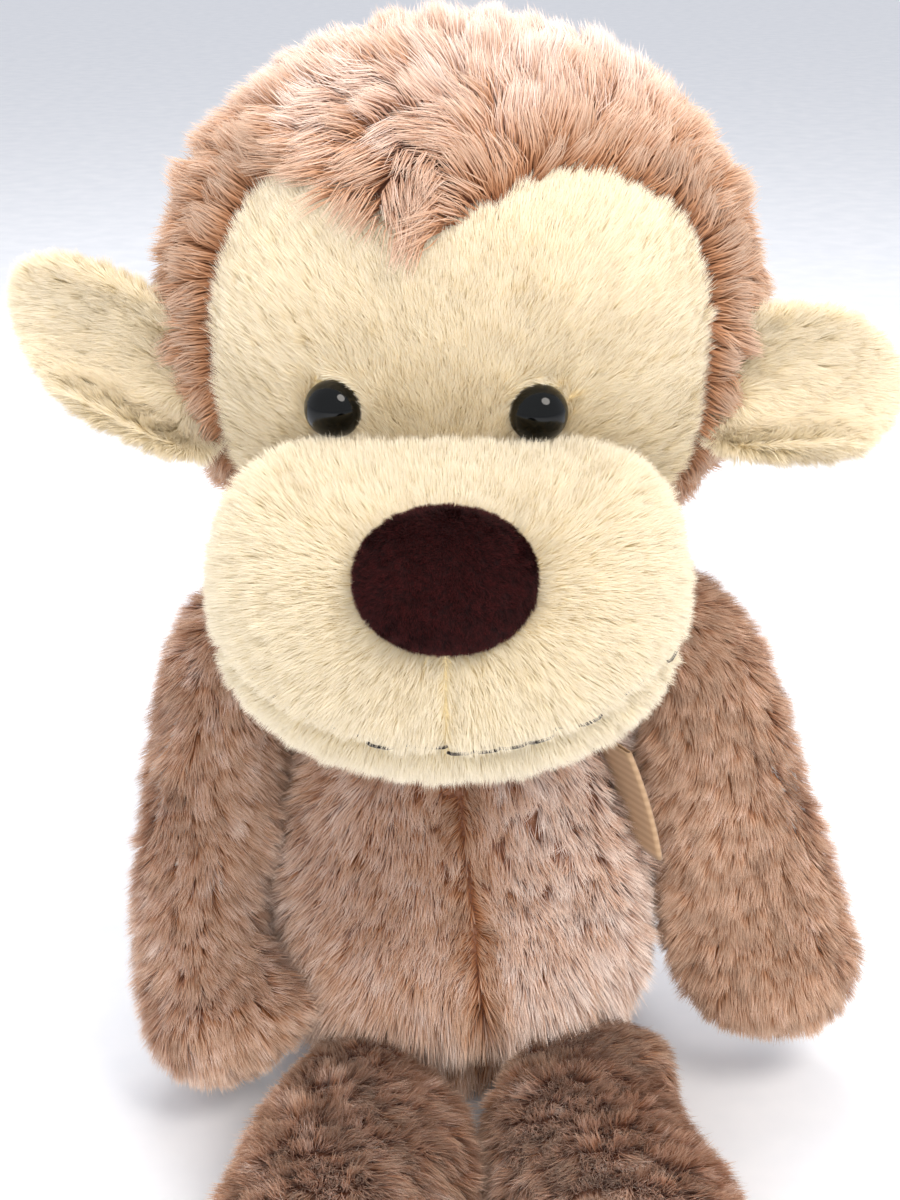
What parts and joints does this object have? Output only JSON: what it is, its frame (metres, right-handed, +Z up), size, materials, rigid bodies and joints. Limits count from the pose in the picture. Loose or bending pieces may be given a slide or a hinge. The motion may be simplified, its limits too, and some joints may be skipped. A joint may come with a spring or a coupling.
{
  "type": "stuffed monkey",
  "caption": "Seated plush monkey with long-pile brown body, short-pile beige face, muzzle and ears, padded nose, plastic eyes and floppy sewn-on limbs",
  "frame": {"origin": "middle of the flat seat panel's underside, on the surface that the toy sits on", "axes": "+Z up, -Y out of the toy's face, +X to the toy's own left"},
  "size_m": [0.167, 0.2124, 0.2105],
  "materials": {
    "long_pile_plush": "matte",
    "short_pile_plush": "matte",
    "nose_plush": "matte",
    "eye_plastic": "gloss",
    "washer_plastic": "satin",
    "fibre_fill": "matte",
    "pouch_cloth": "matte",
    "dark_thread": "matte",
    "woven_tape": "matte"
  },
  "bodies": {
    "torso": {"torso_front_left": "long_pile_plush", "torso_front_right": "long_pile_plush", "torso_back": "long_pile_plush", "seat_panel": "long_pile_plush", "torso_stuffing": "fibre_fill", "bean_pouch": "pouch_cloth", "seam_label": "woven_tape"},
    "neck": {"neck_plug": "fibre_fill"},
    "head": {"hood_left": "long_pile_plush", "hood_right": "long_pile_plush", "face_panel": "short_pile_plush", "muzzle_panel": "short_pile_plush", "chin_panel": "short_pile_plush", "mouth_thread": "dark_thread", "nose_pad": "nose_plush", "left_eye": "eye_plastic", "right_eye": "eye_plastic", "left_eye_washer": "washer_plastic", "right_eye_washer": "washer_plastic", "head_stuffing": "fibre_fill", "muzzle_stuffing": "fibre_fill"},
    "tail": {"tail_cover": "long_pile_plush", "tail_stuffing": "fibre_fill"},
    "left_ear": {"left_ear_front": "short_pile_plush", "left_ear_back": "short_pile_plush"},
    "left_shoulder": {"left_shoulder_tuck": "long_pile_plush"},
    "left_arm": {"left_arm_front": "long_pile_plush", "left_arm_back": "long_pile_plush", "left_arm_stuffing": "fibre_fill"},
    "left_hip": {"left_hip_tuck": "long_pile_plush"},
    "left_leg": {"left_leg_upper": "long_pile_plush", "left_leg_lower": "long_pile_plush", "left_leg_stuffing": "fibre_fill"},
    "right_ear": {"right_ear_front": "short_pile_plush", "right_ear_back": "short_pile_plush"},
    "right_shoulder": {"right_shoulder_tuck": "long_pile_plush"},
    "right_arm": {"right_arm_front": "long_pile_plush", "right_arm_back": "long_pile_plush", "right_arm_stuffing": "fibre_fill"},
    "right_hip": {"right_hip_tuck": "long_pile_plush"},
    "right_leg": {"right_leg_upper": "long_pile_plush", "right_leg_lower": "long_pile_plush", "right_leg_stuffing": "fibre_fill"}
  },
  "joints": [
    {"name": "head_turn", "type": "hinge", "parent": "torso", "child": "neck", "pos_m": [0, 0.004, 0.1015], "axis": [0, 0, 1], "range_deg": [-25, 25], "stiffness_Nm_per_rad": 0.35},
    {"name": "head_nod", "type": "hinge", "parent": "neck", "child": "head", "pos_m": [0, 0.004, 0.1015], "axis": [-1, 0, 0], "range_deg": [-6, 8], "stiffness_Nm_per_rad": 0.6},
    {"name": "tail_swing", "type": "hinge", "parent": "torso", "child": "tail", "pos_m": [0, 0.03846, 0.016], "axis": [0, 0, 1], "range_deg": [-25, 25], "stiffness_Nm_per_rad": 0.02},
    {"name": "left_ear_fold", "type": "hinge", "parent": "head", "child": "left_ear", "pos_m": [0.04813, -0.011, 0.144], "axis": [0, 0, 1], "range_deg": [-18, 10], "stiffness_Nm_per_rad": 0.02},
    {"name": "left_arm_swing", "type": "hinge", "parent": "torso", "child": "left_shoulder", "pos_m": [0.037, 0.003, 0.094], "axis": [-0.9439, -0.3304, 0], "range_deg": [0, 45], "stiffness_Nm_per_rad": 0.15},
    {"name": "left_arm_spread", "type": "hinge", "parent": "left_shoulder", "child": "left_arm", "pos_m": [0.037, 0.003, 0.094], "axis": [0, -1, 0], "range_deg": [0, 50], "stiffness_Nm_per_rad": 0.15},
    {"name": "left_leg_spread", "type": "hinge", "parent": "torso", "child": "left_hip", "pos_m": [0.019, -0.03, 0.0135], "axis": [0, 0, 1], "range_deg": [-2, 7], "stiffness_Nm_per_rad": 0.15},
    {"name": "left_leg_lift", "type": "hinge", "parent": "left_hip", "child": "left_leg", "pos_m": [0.019, -0.03, 0.0135], "axis": [-1, 0, 0], "range_deg": [-40, 10], "stiffness_Nm_per_rad": 0.15},
    {"name": "right_ear_fold", "type": "hinge", "parent": "head", "child": "right_ear", "pos_m": [-0.04813, -0.011, 0.144], "axis": [0, 0, 1], "range_deg": [-10, 18], "stiffness_Nm_per_rad": 0.02},
    {"name": "right_arm_swing", "type": "hinge", "parent": "torso", "child": "right_shoulder", "pos_m": [-0.037, 0.003, 0.094], "axis": [-0.9439, 0.3304, 0], "range_deg": [0, 45], "stiffness_Nm_per_rad": 0.15},
    {"name": "right_arm_spread", "type": "hinge", "parent": "right_shoulder", "child": "right_arm", "pos_m": [-0.037, 0.003, 0.094], "axis": [0, 1, 0], "range_deg": [0, 50], "stiffness_Nm_per_rad": 0.15},
    {"name": "right_leg_spread", "type": "hinge", "parent": "torso", "child": "right_hip", "pos_m": [-0.019, -0.03, 0.0135], "axis": [0, 0, -1], "range_deg": [-2, 7], "stiffness_Nm_per_rad": 0.15},
    {"name": "right_leg_lift", "type": "hinge", "parent": "right_hip", "child": "right_leg", "pos_m": [-0.019, -0.03, 0.0135], "axis": [-1, 0, 0], "range_deg": [-40, 10], "stiffness_Nm_per_rad": 0.15}
  ]
}
